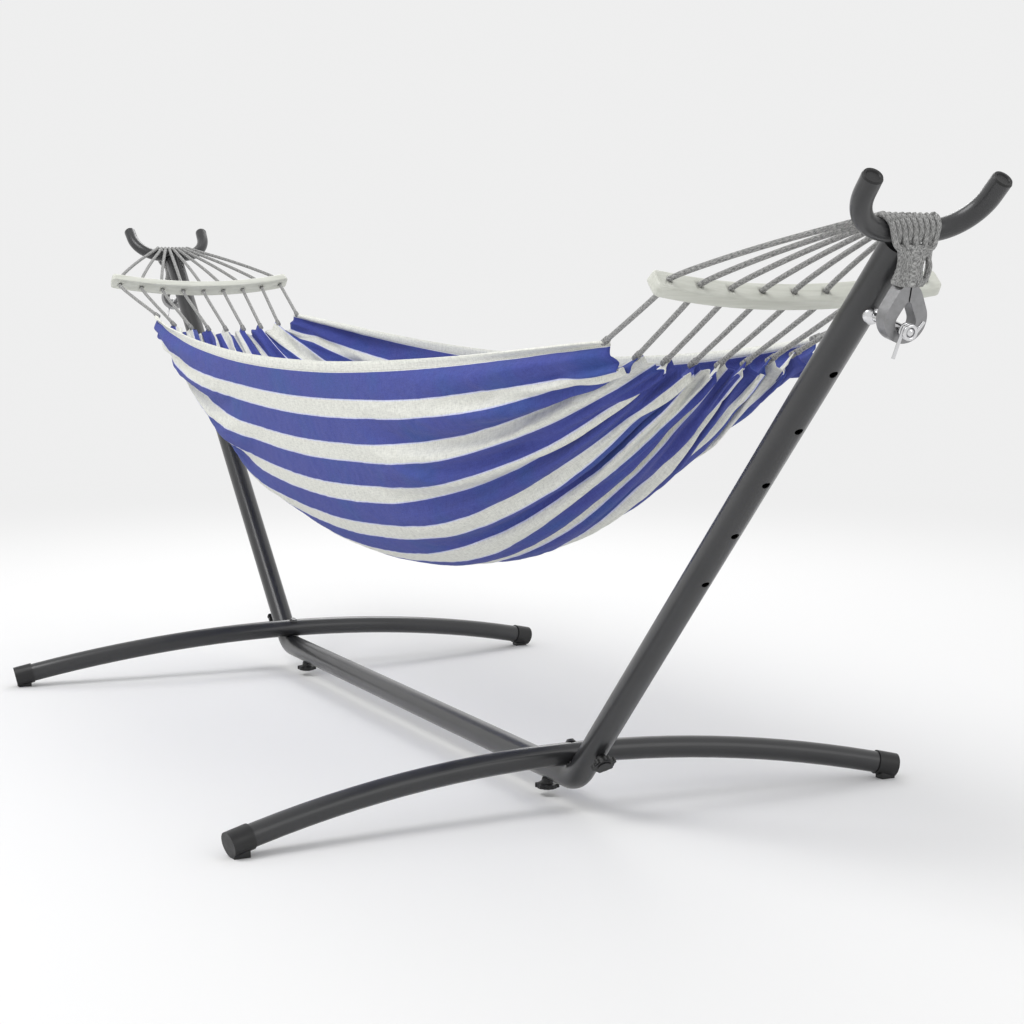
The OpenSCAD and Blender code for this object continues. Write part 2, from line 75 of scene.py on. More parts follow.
BAR_MID = np.array([1.204, 0, 0.768])
BAR_L, BAR_B, BAR_T, BAR_BOW = 0.410, 0.031, 0.017, 0.026
BAR_R = ((BAR_L / 2) ** 2 + BAR_BOW**2) / (2 * BAR_BOW)
BAR_CORNER, CORD_PITCH, CORD_HOLE_R = 0.008, 0.046, 0.0045

bed_low, bed_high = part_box("bed")
BED_X, BED_HALF = bed_high.x, bed_high.y
BED_LOW, BED_EDGE_END = bed_low.z, bed_high.z
BED_END_HALF, BED_EDGE_LOW, BED_END_LOW, BED_END_BOW = 0.157, 0.658, 0.676, 0.020
BED_NARROWING, BED_RISE = 2.3, 2.2
TIE_SPAN = 0.995

# The cloth as it was cut, and its stripes
CLOTH_W = 0.900
HEM = 0.018
BLUE, WHITE = 0.0430, 0.0316
WARP_PITCH, WEFT_PITCH = 0.0016, 0.0018
SEAM_INSET, STITCH_PITCH, STITCH_HALF = 0.002, 0.005, 0.0006
# How far the cloth reaches past its ties
EAR = 0.016


def lean_z(angle):
    return np.array([math.sin(angle), 0, math.cos(angle)])


def lean_x(angle):
    return np.array([math.cos(angle), 0, -math.sin(angle)])


def mix(a, b, t):
    return a + (b - a) * t


def unit(v):
    return v / np.linalg.norm(v)


Y = np.array([0.0, 1.0, 0.0])
U_POST = lean_z(math.pi / 2 - POST_ANGLE)
OUT_POST = lean_x(math.pi / 2 - POST_ANGLE)
U_BAR = lean_z(math.radians(45))
U_PIN, U_PULL = lean_x(PIN_DIP), lean_z(PIN_DIP)


def on_post(s):
    return CORNER + s * U_POST


BALL = on_post(TOP_HOLE) + BALL_OUT * OUT_POST
THIMBLE = BALL + THIMBLE_OUT * U_PIN


def from_thimble(out, side, up):
    """A point given out along the pin, sideways and up the pull, from the thimble's middle."""
    return THIMBLE + out * U_PIN + side * Y + up * U_PULL


# ---- Camera and light ----

# The camera was fitted to the photo: where it stands, how far it looks down, and its turn from -X
CAMERA_PLACE, CAMERA_DOWN, CAMERA_TURN = (3.3593, -1.4025, 0.7908), 6.39, 25.47
camera = bpy.data.objects.new("camera", bpy.data.cameras.new("camera"))
camera.data.lens, camera.data.sensor_width = 73.4, 36
camera.data.clip_start, camera.data.clip_end = 0.05, 60
camera.location = CAMERA_PLACE
camera.rotation_euler = (math.radians(90 - CAMERA_DOWN), 0, math.radians(90 - CAMERA_TURN))
bpy.context.scene.collection.objects.link(camera)
bpy.context.scene.camera = camera


def area_light(name, place, aim, size, power):
    data = bpy.data.lights.new(name, "AREA")
    data.shape, data.size, data.energy = "DISK", size, power
    light = bpy.data.objects.new(name, data)
    light.location = place
    light.rotation_euler = (Vector(aim) - Vector(place)).to_track_quat("-Z", "Y").to_euler()
    bpy.context.scene.collection.objects.link(light)


area_light("key", (0.2, -2.2, 3.6), (0, 0, 0.5), 2.4, 62)
area_light("fill", (4.2, 1.6, 2.6), (0.3, 0, 0.5), 3.0, 22)
area_light("rim", (-3.0, 1.5, 3.0), (0, 0, 0.6), 2.0, 40)

BACKDROP = 0.86
world = bpy.data.worlds.new("studio")
world.use_nodes = True
background = world.node_tree.nodes["Background"].inputs
background["Color"].default_value = (1, 1, 1, 1)
background["Strength"].default_value = BACKDROP
bpy.context.scene.world = world
bpy.context.scene.view_settings.view_transform = "Standard"

# ---- Mesh helpers ----


def new_object(name, verts, faces, smooth=True):
    mesh = bpy.data.meshes.new(name)
    mesh.from_pydata([tuple(map(float, v)) for v in verts], [], faces)
    mesh.update()
    if smooth:
        mesh.polygons.foreach_set("use_smooth", [True] * len(mesh.polygons))
    obj = bpy.data.objects.new(name, mesh)
    bpy.context.scene.collection.objects.link(obj)
    return obj


def set_uv(obj, uv):
    """uv holds one (u, v) for each vertex."""
    layer = obj.data.uv_layers.new(name="UV")
    index = np.empty(len(obj.data.loops), int)
    obj.data.loops.foreach_get("vertex_index", index)
    layer.data.foreach_set("uv", np.asarray(uv, np.float32)[index].ravel())


def apply_modifiers(obj):
    graph = bpy.context.evaluated_depsgraph_get()
    mesh = bpy.data.meshes.new_from_object(obj.evaluated_get(graph))
    old, obj.data = obj.data, mesh
    obj.modifiers.clear()
    bpy.data.meshes.remove(old)


def resample(points, step):
    """points joined by a smooth curve, at equal distances of about step."""
    p = np.asarray(points, float)
    q = np.vstack([2 * p[0] - p[1], p, 2 * p[-1] - p[-2]])
    t = np.linspace(0, 1, 24, endpoint=False)[:, None]
    fine = []
    for a, b, c, d in zip(q, q[1:], q[2:], q[3:]):
        m0, m1 = (c - a) / 2, (d - b) / 2
        from_b = (2 * t**3 - 3 * t**2 + 1) * b + (t**3 - 2 * t**2 + t) * m0
        to_c = (3 * t**2 - 2 * t**3) * c + (t**3 - t**2) * m1
        fine.append(from_b + to_c)
    fine = np.vstack(fine + [p[-1:]])
    along = np.r_[0, np.cumsum(np.linalg.norm(np.diff(fine, axis=0), axis=1))]
    s = np.linspace(0, along[-1], max(2, round(along[-1] / step)) + 1)
    return np.stack([np.interp(s, along, fine[:, i]) for i in range(3)], 1)


def ring_faces(rings, sides):
    """The faces of closed rings of vertices one after the other, with both ends capped."""
    faces = []
    for i in range(rings - 1):
        a, b = i * sides, (i + 1) * sides
        faces += [(a + j, a + (j + 1) % sides, b + (j + 1) % sides, b + j) for j in range(sides)]
    return faces + [tuple(reversed(range(sides))), tuple(range((rings - 1) * sides, rings * sides))]


def sweep(name, path, section):
    """section(i) gives the outline at ring i. In the UVs, u is a share of a turn and v metres along path."""
    path = np.asarray(path, float)
    n = len(path)
    tangent = np.gradient(path, axis=0)
    tangent /= np.linalg.norm(tangent, axis=1)[:, None]
    side = np.cross(tangent[0], Y if abs(tangent[0][1]) < 0.9 else np.array([0, 0, 1.0]))
    rings = []
    for i in range(n):
        side = unit(side - tangent[i] * (side @ tangent[i]))
        up = np.cross(side, tangent[i])
        out = np.asarray(section(i), float)
        rings.append(path[i] + out[:, :1] * side + out[:, 1:] * up)
    m = len(rings[0])
    along = np.r_[0, np.cumsum(np.linalg.norm(np.diff(path, axis=0), axis=1))]
    obj = new_object(name, np.vstack(rings), ring_faces(n, m))
    layer = obj.data.uv_layers.new(name="UV")
    values = []
    for face in obj.data.polygons:
        columns = [v % m for v in face.vertices]
        wraps = 0 in columns and m - 1 in columns and len(columns) == 4
        for v in face.vertices:
            u = (m if wraps and v % m == 0 else v % m) / m
            values.append((u, along[v // m]))
    layer.data.foreach_set("uv", np.asarray(values, np.float32).ravel())
    return obj


def ring(radius, sides):
    a = np.linspace(0, 2 * math.pi, sides, endpoint=False)
    return radius * np.stack([np.cos(a), np.sin(a)], 1)


def cord_tube(name, path):
    """A round cord whose ends are rounded over."""
    path = resample(path, CORD_STEP)
    n = len(path)
    radius, tip, sides = CORD_D / 2, 0.35, 12

    def section(i):
        from_end = min(i, n - 1 - i) * CORD_STEP
        dome = 1 if from_end >= radius else tip + (1 - tip) * math.sqrt(1 - (1 - from_end / radius) ** 2)
        return ring(radius * dome, sides)

    return sweep(name, path, section)


def drill_bit(centre, axis):
    """A cylinder of the cord hole's radius, long enough to go right through the bar."""
    steps = 24
    z = unit(np.asarray(axis, float))
    x = unit(Y - z * (Y @ z))
    outline = [
        CORD_HOLE_R * (math.cos(a) * x + math.sin(a) * np.cross(z, x))
        for a in np.linspace(0, 2 * math.pi, steps, endpoint=False)
    ]
    verts = [centre + point + height * z for height in (-BAR_T, BAR_T) for point in outline]
    return new_object("drill", verts, ring_faces(2, steps))


def mirrored(points, sign):
    return np.asarray(points, float) * np.array([sign, 1, 1])


def flip_to(obj, sign):
    """Mirrors a finished near-end piece to the far end."""
    if sign < 0:
        obj.data.transform(Matrix.Scale(-1, 4, (1, 0, 0)))
        obj.data.flip_normals()
    return obj


# ---- Materials ----


class Paint:
    """Short names for building one node material."""

    def __init__(self, name):
        self.material = bpy.data.materials.new(name)
        self.material.use_nodes = True
        self.tree = self.material.node_tree
        self.shader = self.tree.nodes["Principled BSDF"]

    def node(self, kind, **settings):
        n = self.tree.nodes.new("ShaderNode" + kind)
        for key, value in settings.items():
            setattr(n, key, value)
        return n

    def put(self, socket, value):
        if isinstance(value, bpy.types.NodeSocket):
            self.tree.links.new(value, socket)
        else:
            socket.default_value = value

    def coords(self, kind="Object", scale=(1, 1, 1)):
        mapping = self.node("Mapping")
        mapping.inputs["Scale"].default_value = scale
        self.put(mapping.inputs["Vector"], self.node("TexCoord").outputs[kind])
        return mapping.outputs["Vector"]

    def math(self, operation, a, b=0.0):
        n = self.node("Math", operation=operation)
        for socket, value in zip(n.inputs, (a, b)):
            self.put(socket, value)
        return n.outputs[0]

    def split(self, vector):
        n = self.node("SeparateXYZ")
        self.put(n.inputs[0], vector)
        return n.outputs

    def noise(self, vector, scale, detail=3.0, roughness=0.5):
        n = self.node("TexNoise")
        self.put(n.inputs["Vector"], vector)
        self.put(n.inputs["Scale"], scale)
        self.put(n.inputs["Detail"], detail)
        self.put(n.inputs["Roughness"], roughness)
        return n.outputs["Fac"]

    def ramp(self, factor, stops, interpolation="LINEAR"):
        n = self.node("ValToRGB")
        n.color_ramp.interpolation = interpolation
        elements = n.color_ramp.elements
        while len(elements) < len(stops):
            elements.new(0.5)
        for element, (place, colour) in zip(elements, stops):
            element.position = place
            element.color = (*colour, 1) if hasattr(colour, "__len__") else (colour, colour, colour, 1)
        self.put(n.inputs["Fac"], factor)
        return n.outputs["Color"]

    def blend(self, factor, a, b, mode="MIX"):
        n = self.node("Mix", data_type="RGBA", blend_type=mode)
        self.put(n.inputs["Factor"], factor)
        for socket, value in ((n.inputs[6], a), (n.inputs[7], b)):
            self.put(socket, value if isinstance(value, bpy.types.NodeSocket) else (*value, 1))
        return n.outputs[2]

    def bump(self, height, distance, strength=1.0):
        n = self.node("Bump")
        self.put(n.inputs["Height"], height)
        self.put(n.inputs["Distance"], distance)
        self.put(n.inputs["Strength"], strength)
        self.put(self.shader.inputs["Normal"], n.outputs[0])

    def set(self, **values):
        for key, value in values.items():
            socket = self.shader.inputs[key.replace("_", " ")]
            if not isinstance(value, bpy.types.NodeSocket) and hasattr(value, "__len__") and len(value) == 3:
                value = (*value, 1)
            self.put(socket, value)
        return self.material


def powder_coat():
    p = Paint("powder_coat")
    at = p.coords()
    fine, broad = p.noise(at, 900, 2), p.noise(at, 9, 3)
    tone = p.ramp(broad, [(0.3, (0.016, 0.0163, 0.0175)), (0.7, (0.023, 0.0234, 0.025))])
    speck = p.ramp(p.noise(at, 2400, 1), [(0.60, 0.0), (0.72, 1.0)])
    p.bump(fine, 0.00012, 0.6)
    return p.set(
        Base_Color=p.blend(p.math("MULTIPLY", speck, 0.35), tone, (0.08, 0.08, 0.085)),
        Metallic=0.15,
        Roughness=p.ramp(broad, [(0.3, 0.32), (0.7, 0.42)]),
        Coat_Weight=0.45,
        Coat_Roughness=0.16,
    )


def black_moulding():
    p = Paint("black_moulding")
    at = p.coords()
    grain = p.node("TexVoronoi")
    p.put(grain.inputs["Vector"], at)
    p.put(grain.inputs["Scale"], 1400)
    p.bump(grain.outputs["Distance"], 0.00012, 0.5)
    return p.set(
        Base_Color=p.ramp(p.noise(at, 30, 3), [(0.3, (0.004, 0.004, 0.0045)), (0.7, (0.009, 0.009, 0.0095))]),
        Roughness=p.ramp(p.noise(at, 60, 3), [(0.3, 0.34), (0.7, 0.5)]),
    )


def plated(name, base, roughness, streak=0.08, scale=120):
    p = Paint(name)
    at = p.coords()
    cloud, fine = p.noise(at, scale, 4, 0.6), p.noise(at, scale * 9, 2)
    low, high = base * (1 - streak), base * (1 + streak)
    p.bump(fine, 0.00008, 0.5)
    return p.set(
        Base_Color=p.ramp(cloud, [(0.3, (low, low, low * 1.01)), (0.7, (high, high, high * 1.02))]),
        Metallic=1.0,
        Roughness=p.ramp(cloud, [(0.3, roughness * 0.8), (0.7, roughness * 1.25)]),
    )


def braided_cord():
    """A plaited cord: two crossing families of strands in grey yarn flecked light and dark."""
    p = Paint("braided_cord")
    u, v, _ = p.split(p.coords("UV"))
    across, along = p.math("MULTIPLY", u, 8), p.math("DIVIDE", v, 0.0046)
    left = p.math("SINE", p.math("MULTIPLY", p.math("ADD", across, along), math.pi))
    right = p.math("SINE", p.math("MULTIPLY", p.math("SUBTRACT", across, along), math.pi))
    strands = p.math("MULTIPLY", p.math("ABSOLUTE", left), p.math("ABSOLUTE", right))
    fleck = p.noise(p.coords("UV", (9, 260, 1)), 1.0, 3, 0.7)
    fibre = p.noise(p.coords("UV", (60, 1500, 1)), 1.0, 2, 0.6)
    mixed = p.math("ADD", p.math("MULTIPLY", fleck, 0.75), p.math("MULTIPLY", fibre, 0.25))
    dark, grey, pale = (0.12, 0.12, 0.12), (0.27, 0.27, 0.265), (0.46, 0.46, 0.45)
    yarn = p.ramp(mixed, [(0.38, dark), (0.48, grey), (0.60, pale)])
    # Painted shade: the yarn colour is darkened in the grooves between the strands
    painted_groove_shade = p.ramp(strands, [(0.0, 0.6), (0.4, 1.0)])
    p.bump(strands, 0.0005, 0.7)
    return p.set(Base_Color=p.blend(1.0, yarn, painted_groove_shade, "MULTIPLY"), Roughness=0.85, Sheen_Weight=0.15)


def painted_wood():
    p = Paint("painted_wood")
    at = p.coords("Object", (60, 4, 60))
    grain = p.noise(at, 3.0, 5, 0.6)
    smudge = p.noise(p.coords(), 25, 3)
    tone = p.ramp(grain, [(0.25, (0.50, 0.51, 0.45)), (0.55, (0.62, 0.63, 0.57)), (0.8, (0.68, 0.69, 0.64))])
    p.bump(grain, 0.0003, 0.35)
    return p.set(
        Base_Color=p.blend(p.ramp(smudge, [(0.35, 0.0), (0.75, 0.35)]), tone, (0.52, 0.53, 0.48)),
        Roughness=p.ramp(grain, [(0.2, 0.5), (0.8, 0.38)]),
    )


def striped_cloth():
    """Woven stripes along the length. The cloth's UVs are its flat metres: u across, v along."""
    p = Paint("striped_cloth")
    uv = p.coords("UV")
    u, v, _ = p.split(uv)
    wobble = p.math("MULTIPLY", p.math("SUBTRACT", p.noise(uv, 60, 2), 0.5), 0.0006)
    x = p.math("ADD", u, wobble)
    period = BLUE + WHITE
    phase = p.math("FRACT", p.math("DIVIDE", p.math("SUBTRACT", x, HEM), period))
    blue_share = BLUE / period
    line = 0.0012 / period
    lilac, cream = (0.62, 0.64, 0.84), (0.74, 0.745, 0.69)
    blue = (0.058, 0.076, 0.32)
    cloud = p.noise(uv, 7, 3)
    stripes = p.ramp(
        phase,
        [
            (0.0, lilac),
            (0.006, blue),
            (blue_share - 0.006, blue),
            (blue_share, lilac),
            (blue_share + line, lilac),
            (blue_share + 2 * line, cream),
            (1 - 2 * line, cream),
            (1 - line, lilac),
        ],
    )
    from_middle = p.math("ABSOLUTE", p.math("SUBTRACT", u, CLOTH_W / 2))
    in_hem = p.math("GREATER_THAN", from_middle, CLOTH_W / 2 - HEM)
    base = p.blend(in_hem, stripes, cream)
    slub = p.noise(p.coords("UV", (420, 70, 1)), 1.0, 4, 0.7)
    slub_2 = p.noise(p.coords("UV", (60, 420, 1)), 1.0, 4, 0.7)
    yarn = p.math("ADD", p.math("MULTIPLY", slub, 0.5), p.math("MULTIPLY", slub_2, 0.5))
    tone = p.ramp(yarn, [(0.34, 0.74), (0.50, 1.0), (0.66, 1.2)])
    faded = p.ramp(cloud, [(0.3, (1.06, 0.98, 0.98)), (0.5, (1.0, 1.0, 1.0)), (0.68, (0.80, 1.12, 0.98))])
    dyed = p.ramp(phase, [(0.0, 0.0), (0.01, 1.0), (blue_share - 0.01, 1.0), (blue_share, 0.0)])
    faded = p.blend(dyed, (1.0, 1.0, 1.0), faded)
    colour = p.blend(1.0, p.blend(1.0, base, tone, "MULTIPLY"), faded, "MULTIPLY")
    warp = p.math("SINE", p.math("MULTIPLY", u, 2 * math.pi / WARP_PITCH))
    weft = p.math("SINE", p.math("MULTIPLY", v, 2 * math.pi / WEFT_PITCH))
    weave = p.math("ADD", p.math("MULTIPLY", warp, weft), p.math("MULTIPLY", yarn, 2.0))
    from_seam = p.math("ABSOLUTE", p.math("SUBTRACT", from_middle, CLOTH_W / 2 - HEM + SEAM_INSET))
    dash = p.math("GREATER_THAN", p.math("SINE", p.math("MULTIPLY", v, 2 * math.pi / STITCH_PITCH)), -0.5)
    stitch = p.math("MULTIPLY", p.math("LESS_THAN", from_seam, STITCH_HALF), dash)
    colour = p.blend(p.math("MULTIPLY", stitch, 0.5), colour, (0.30, 0.30, 0.28))
    p.bump(p.math("SUBTRACT", weave, p.math("MULTIPLY", stitch, 3.0)), 0.00022, 0.55)
    return p.set(
        Base_Color=colour,
        Roughness=0.9,
        Specular_IOR_Level=0.2,
        Sheen_Weight=0.08,
        Sheen_Roughness=0.5,
    )


POWDER, MOULDING = powder_coat(), black_moulding()
ZINC = plated("galvanised", 0.30, 0.40, 0.12)
CHROME = plated("bright_plate", 0.70, 0.16, 0.03, 40)
STEEL = plated("plain_steel", 0.5, 0.35, 0.06)
CORD, WOOD, CLOTH = braided_cord(), painted_wood(), striped_cloth()


def dress(obj, material, slot, body, *replaced):
    """Gives a piece its material and the body it rides, and hides the CAD nodes it stands for. The slot
    argument is not used.
    """
    obj.data.materials.clear()
    obj.data.materials.append(material)
    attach(obj, body)
    if replaced:
        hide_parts(*replaced)


# ---- Cords ----


def horn_lift(y):
    """How far the horn has risen at y from its middle."""
    y = abs(y)
    return 0 if y <= HORN_FLAT else HORN_R - math.sqrt(HORN_R**2 - (y - HORN_FLAT) ** 2)


def on_saddle(angle, y):
    """A point of a cord's centre line on the horn, at this turn round the tube."""
    return on_post(HORN_S + horn_lift(y)) + y * Y + SADDLE_R * np.array([math.cos(angle), 0, math.sin(angle)])


def bar_at(turn):
    """The middle of the bar at this turn round its bow, and the way a cord goes through it there."""
    middle = BAR_MID + BAR_R * ((1 - math.cos(turn)) * U_BAR + math.sin(turn) * Y)
    return middle, math.cos(turn) * U_BAR - math.sin(turn) * Y


def cord_hole(k):
    return bar_at(math.asin(k * CORD_PITCH / BAR_R))


def bed_width(u):
    return mix(BED_HALF, BED_END_HALF, abs(u) ** BED_NARROWING)


def bed_edge(u):
    return mix(BED_EDGE_LOW, BED_EDGE_END, u**2)


def bed_belly(u):
    return mix(BED_LOW, BED_END_LOW, abs(u) ** BED_RISE)


def bed_at(u, v):
    """The smooth bed at u along it and v across it, each from -1 to 1."""
    t = np.asarray(v, float) * math.pi / 2
    x = u * (BED_X - BED_END_BOW * np.asarray(v, float) ** 2)
    z = bed_edge(u) - (bed_edge(u) - bed_belly(u)) * np.cos(t)
    return np.stack([x, bed_width(u) * np.sin(t), z], -1)


def tie_point(k):
    return bed_at(1.0, math.asin(k / K_MAX * TIE_SPAN) / (math.pi / 2))


def cord_route(k):
    """Cord k from the neck over the horn, through the spreader bar and down to its tie."""
    stagger = NECK_STAGGER * (1 if k % 2 == 0 else -1)
    root = from_thimble(stagger, NECK_PITCH * k, NECK_TOP - NECK_INSIDE)
    foot = from_thimble(stagger, NECK_PITCH * k, NECK_TOP + NECK_OUTSIDE)
    rise = on_saddle(-PIN_DIP, RISE_PITCH * k)
    spread = mix(foot, rise, 0.35) + 0.25 * stagger * U_PIN + RISE_OPEN * k * Y
    arc = [
        on_saddle(mix(-PIN_DIP, math.pi / 2 + SADDLE_LIFT, t), mix(RISE_PITCH, SADDLE_PITCH, t) * k)
        for t in np.linspace(0, 1, 6)
    ]
    hole, axis = cord_hole(k)
    through = axis * (BAR_T / 2 + HOLE_LEAD)
    top, low = hole + through, hole - through
    end = tie_point(k)
    # The cords bow up a little between the horn and the bar, and sag a little below it
    span = [mix(top, arc[-1], 0.22) + axis * SPAN_BOW, mix(top, arc[-1], 0.55) + axis * SPAN_BOW]
    drop = [mix(low, end, 0.35) - axis * UPPER_SAG, mix(low, end, 0.7) - axis * LOWER_SAG]
    return [root, foot, spread, *arc, *reversed(span), top, low, *drop, end]


for end_name, sign in ENDS:
    for k in range(-K_MAX, K_MAX + 1):
        path = resample(mirrored(cord_route(k), sign), CORD_STEP)
        cord = cord_tube(f"cord_{end_name}_{k + K_MAX + 1}", path)
        cord.data.materials.append(CORD)
        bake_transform(cord)
        if k == 0:
            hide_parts(f"clew_cords_{end_name}", f"clew_bundle_{end_name}")

# ---- The woven necks, the spare loops and the whippings ----

# The woven neck: (height, half width, half depth) up the pull from the thimble's middle
NECK_SHAPE = [
    (0.0490, 0.0168, 0.0098), (0.0500, 0.0184, 0.0106), (0.0530, 0.0186, 0.0107), (0.0600, 0.0160, 0.0098),
    (0.0680, 0.0146, 0.0090), (0.0760, 0.0150, 0.0084), (0.0840, 0.0168, 0.0080), (0.0900, 0.0186, 0.0070),
    (0.0955, 0.0206, 0.0046),
]
STRAND = 0.0042
# The spare loop: (out along the pin, sideways, up the pull) from the thimble's middle
SPARE_POINTS = [
    (-0.006, 0.0195, 0.088), (-0.004, 0.0235, 0.082), (-0.002, 0.0255, 0.076), (0, 0.0263, 0.070),
    (0, 0.0255, 0.062), (0, 0.023, 0.055), (-0.001, 0.0185, 0.0495),
]


def woven_neck(name):
    """Strands side by side at the top that turn into a close diagonal weave lower down."""
    squareness, relief, slope = 0.55, 0.0011, 0.8
    weave_top, weave_fade = 0.082, 0.014
    rows, sides = 90, 144
    z, half_w, half_t = np.array(NECK_SHAPE).T
    levels = np.linspace(z[0], z[-1], rows)
    a = np.linspace(0, 2 * math.pi, sides, endpoint=False)
    verts = []
    for level in levels:
        w, t = np.interp(level, z, half_w), np.interp(level, z, half_t)
        y = w * np.sign(np.cos(a)) * np.abs(np.cos(a)) ** squareness
        x = t * np.sign(np.sin(a)) * np.abs(np.sin(a)) ** squareness
        loop = np.stack([y, x], 1)
        normal = np.roll(loop, -1, 0) - np.roll(loop, 1, 0)
        normal = np.stack([normal[:, 1], -normal[:, 0]], 1) / (np.linalg.norm(normal, axis=1)[:, None] + 1e-9)
        woven = np.clip((weave_top - level) / weave_fade, 0, 1)
        across = y / w * K_MAX + (x > 0) * 0.5
        straight = np.abs(np.cos(math.pi * across))
        left = np.sin(math.pi * (across + level / STRAND * slope))
        right = np.sin(math.pi * (across - level / STRAND * slope))
        height = (1 - woven) * straight + woven * np.abs(left * right) ** 0.7
        out = loop + normal * (relief * (height - 0.6))[:, None]
        verts += [from_thimble(px, py, level) for py, px in out]
    neck = new_object(name, verts, ring_faces(rows, sides))
    set_uv(neck, [(j / sides * 5, level) for level in levels for j in range(sides)])
    return neck


def whipping(name, path):
    """A tight binding round a cord near the start of path: rings of thread side by side."""
    start, length, radius, turns, relief = 0.003, 0.018, 0.0047, 8, 0.0009
    along = np.r_[0, np.cumsum(np.linalg.norm(np.diff(path, axis=0), axis=1))]
    s = np.linspace(start, start + length, turns * 6 + 1)
    centre = np.stack([np.interp(s, along, path[:, i]) for i in range(3)], 1)
    radii = radius - relief + relief * np.abs(np.sin(np.linspace(0, math.pi * turns, len(s)))) ** 0.5
    radii[0] = radii[-1] = CORD_D / 2
    return sweep(name, centre, lambda i: ring(radii[i], 16))


for end_name, sign in ENDS:
    neck = flip_to(woven_neck(f"woven_neck_{end_name}"), sign)
    dress(neck, CORD, "cord", "stand", f"clew_eye_{end_name}")
    spare = cord_tube(f"spare_cord_{end_name}", mirrored([from_thimble(*p) for p in SPARE_POINTS], sign))
    dress(spare, CORD, "cord", "stand", f"spare_loop_{end_name}")
    for k in range(-K_MAX, K_MAX + 1):
        from_tie = resample(mirrored(cord_route(k), sign)[::-1], 0.002)
        dress(whipping(f"whipping_{end_name}_{k + K_MAX + 1}", from_tie), CORD, "cord", "hammock")

# ---- The cloth ----

GAPS = 2 * K_MAX
ROWS, COLUMNS = 180, 200
# From the middle (0) to the ties (1): how much of the pleating has one, two, three and four ridges per gap
RIDGE_STOPS = [0.0, 0.45, 0.72, 0.90, 0.98]
RIDGE_SHARES = ([1, 1, 0, 0, 0], [0, 0, 1, 0.15, 0.1], [0, 0, 0, 0.85, 0.15], [0, 0, 0, 0, 0.75])
CLOTH_T, HEM_T = 0.0012, 0.0030


def section_at(u):
    """The smooth section at u, and the distance along it."""
    base = bed_at(u, np.linspace(-1, 1, 600))
    return base, np.r_[0, np.cumsum(np.linalg.norm(np.diff(base, axis=0), axis=1))]


def tie_shares():
    """Where the ties sit across the flat cloth, as shares of its width."""
    base, along = section_at(1.0)
    ties = [tie_point(k)[1] for k in range(-K_MAX, K_MAX + 1)]
    return np.interp(ties, base[:, 1], along) / along[-1]


TIES = tie_shares()
RIDGES = np.random.default_rng(5).uniform(0.7, 1.3, 4 * GAPS)


def ridges(gap, count):
    """count ridges between each two ties, of uneven height, with a valley at every tie."""
    size = RIDGES[np.clip(np.floor(count * gap).astype(int), 0, count * GAPS - 1)]
    return size * (1 - np.cos(2 * math.pi * count * gap)) / 2


def pleated_row(u, share, depth):
    """A row of the hanging cloth: the smooth section pushed out in ridges that are finer near the ties."""
    base, along = section_at(u)
    row = np.stack([np.interp(share * along[-1], along, base[:, i]) for i in range(3)], 1)
    tangent = np.gradient(row, axis=0)
    tangent /= np.linalg.norm(tangent, axis=1)[:, None]
    outward = np.stack([np.zeros(len(share)), tangent[:, 2], -tangent[:, 1]], 1)
    gap = np.interp(share, TIES, np.arange(GAPS + 1.0), left=-0.08, right=GAPS + 0.08)
    weights = [np.interp(abs(u), RIDGE_STOPS, shares) for shares in RIDGE_SHARES]
    shape = sum(w * ridges(gap, i + 1) for i, w in enumerate(weights))
    return row + outward * (depth * shape)[:, None]


def pleat_depth(u):
    """The depth of pleat that takes up the whole width of the cloth at u."""
    share = np.linspace(0, 1, 1600)
    low, high = 0.0, 0.06
    for _ in range(30):
        middle = (low + high) / 2
        row = pleated_row(u, share, middle)
        if np.linalg.norm(np.diff(row, axis=0), axis=1).sum() < CLOTH_W:
            low = middle
        else:
            high = middle
    return low


def hang_cloth():
    """The pleated cloth hung by its ties, its length, and each vertex's share of the width."""
    hem = HEM / CLOTH_W
    share = np.r_[0, hem / 2, np.linspace(hem, 1 - hem, COLUMNS - 4), 1 - hem / 2, 1]
    reach = 1 + EAR / BED_X
    for tie in TIES:
        share[np.abs(share - tie).argmin()] = tie
    u_row = np.linspace(-reach, reach, ROWS)
    for end in (-1, 1):
        u_row[np.abs(u_row - end).argmin()] = end
    u_table = np.linspace(0, 1, 21)
    depths = np.array([pleat_depth(u) for u in u_table])
    grid = np.stack([pleated_row(u, share, np.interp(abs(u), u_table, depths)) for u in u_row])
    n_rows, n_cols = grid.shape[:2]
    faces = [
        (i * n_cols + j, (i + 1) * n_cols + j, (i + 1) * n_cols + j + 1, i * n_cols + j + 1)
        for i in range(n_rows - 1)
        for j in range(n_cols - 1)
    ]
    cloth = new_object("bed_cloth", grid.reshape(-1, 3), faces)
    middle_column = grid[:, n_cols // 2]
    along = np.r_[0, np.cumsum(np.linalg.norm(np.diff(middle_column, axis=0), axis=1))]
    set_uv(cloth, [(s * CLOTH_W, v) for v in along for s in share])
    simulate(cloth, u_row, share)
    return cloth, float(along[-1]), np.tile(share, n_rows)


